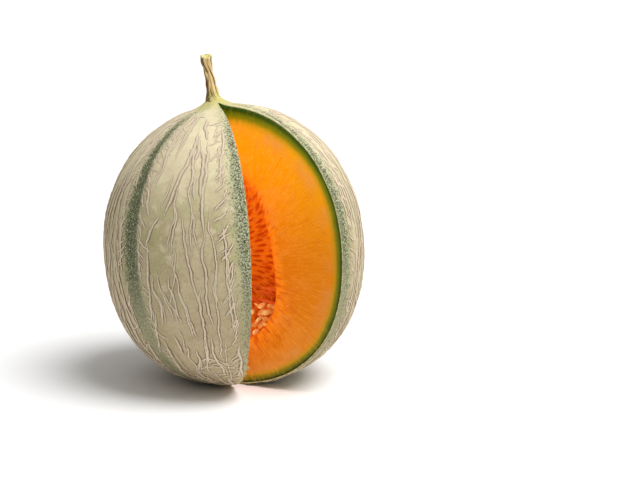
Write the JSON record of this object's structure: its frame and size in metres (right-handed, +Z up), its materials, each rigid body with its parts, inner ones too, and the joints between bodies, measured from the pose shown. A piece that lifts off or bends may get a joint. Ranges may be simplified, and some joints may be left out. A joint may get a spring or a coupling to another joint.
{
  "type": "netted cantaloupe melon with a wedge cut out",
  "caption": "Whole netted cantaloupe melon standing on its resting spot, one wedge cut out to show orange flesh and the seed cavity, with its dry stem and loose seeds.",
  "frame": {"origin": "on the resting spot, under the middle of the fruit", "axes": "+Z up from the surface it stands on, with the stem end up; -Y is the front, and the wedge faces between -Y and +X"},
  "size_m": [0.1304, 0.1301, 0.1632],
  "materials": {
    "rind": "dry netted skin, pale sage with raised corky lines and green sutures",
    "flesh": "moist orange flesh, green under the skin",
    "stem": "dry straw-coloured stem with ridges",
    "seed": "moist cream seeds"
  },
  "bodies": {
    "root": {"melon_fruit": "rind", "stem": "stem", "seed_01": "seed", "seed_02": "seed", "seed_03": "seed", "seed_04": "seed", "seed_05": "seed", "seed_06": "seed", "seed_07": "seed", "seed_08": "seed", "seed_09": "seed", "seed_10": "seed", "seed_11": "seed", "seed_12": "seed", "seed_13": "seed", "seed_14": "seed", "seed_15": "seed", "seed_16": "seed", "seed_17": "seed", "seed_18": "seed", "seed_19": "seed", "seed_20": "seed", "seed_21": "seed", "seed_22": "seed", "seed_23": "seed", "seed_24": "seed", "seed_25": "seed", "seed_26": "seed", "seed_27": "seed", "seed_28": "seed", "seed_29": "seed", "seed_30": "seed", "seed_31": "seed", "seed_32": "seed", "seed_33": "seed", "seed_34": "seed", "seed_35": "seed", "seed_36": "seed", "seed_37": "seed", "seed_38": "seed", "seed_39": "seed", "seed_40": "seed", "seed_41": "seed", "seed_42": "seed", "seed_43": "seed", "seed_44": "seed", "seed_45": "seed", "seed_46": "seed", "seed_47": "seed", "seed_48": "seed"}
  },
  "joints": []
}
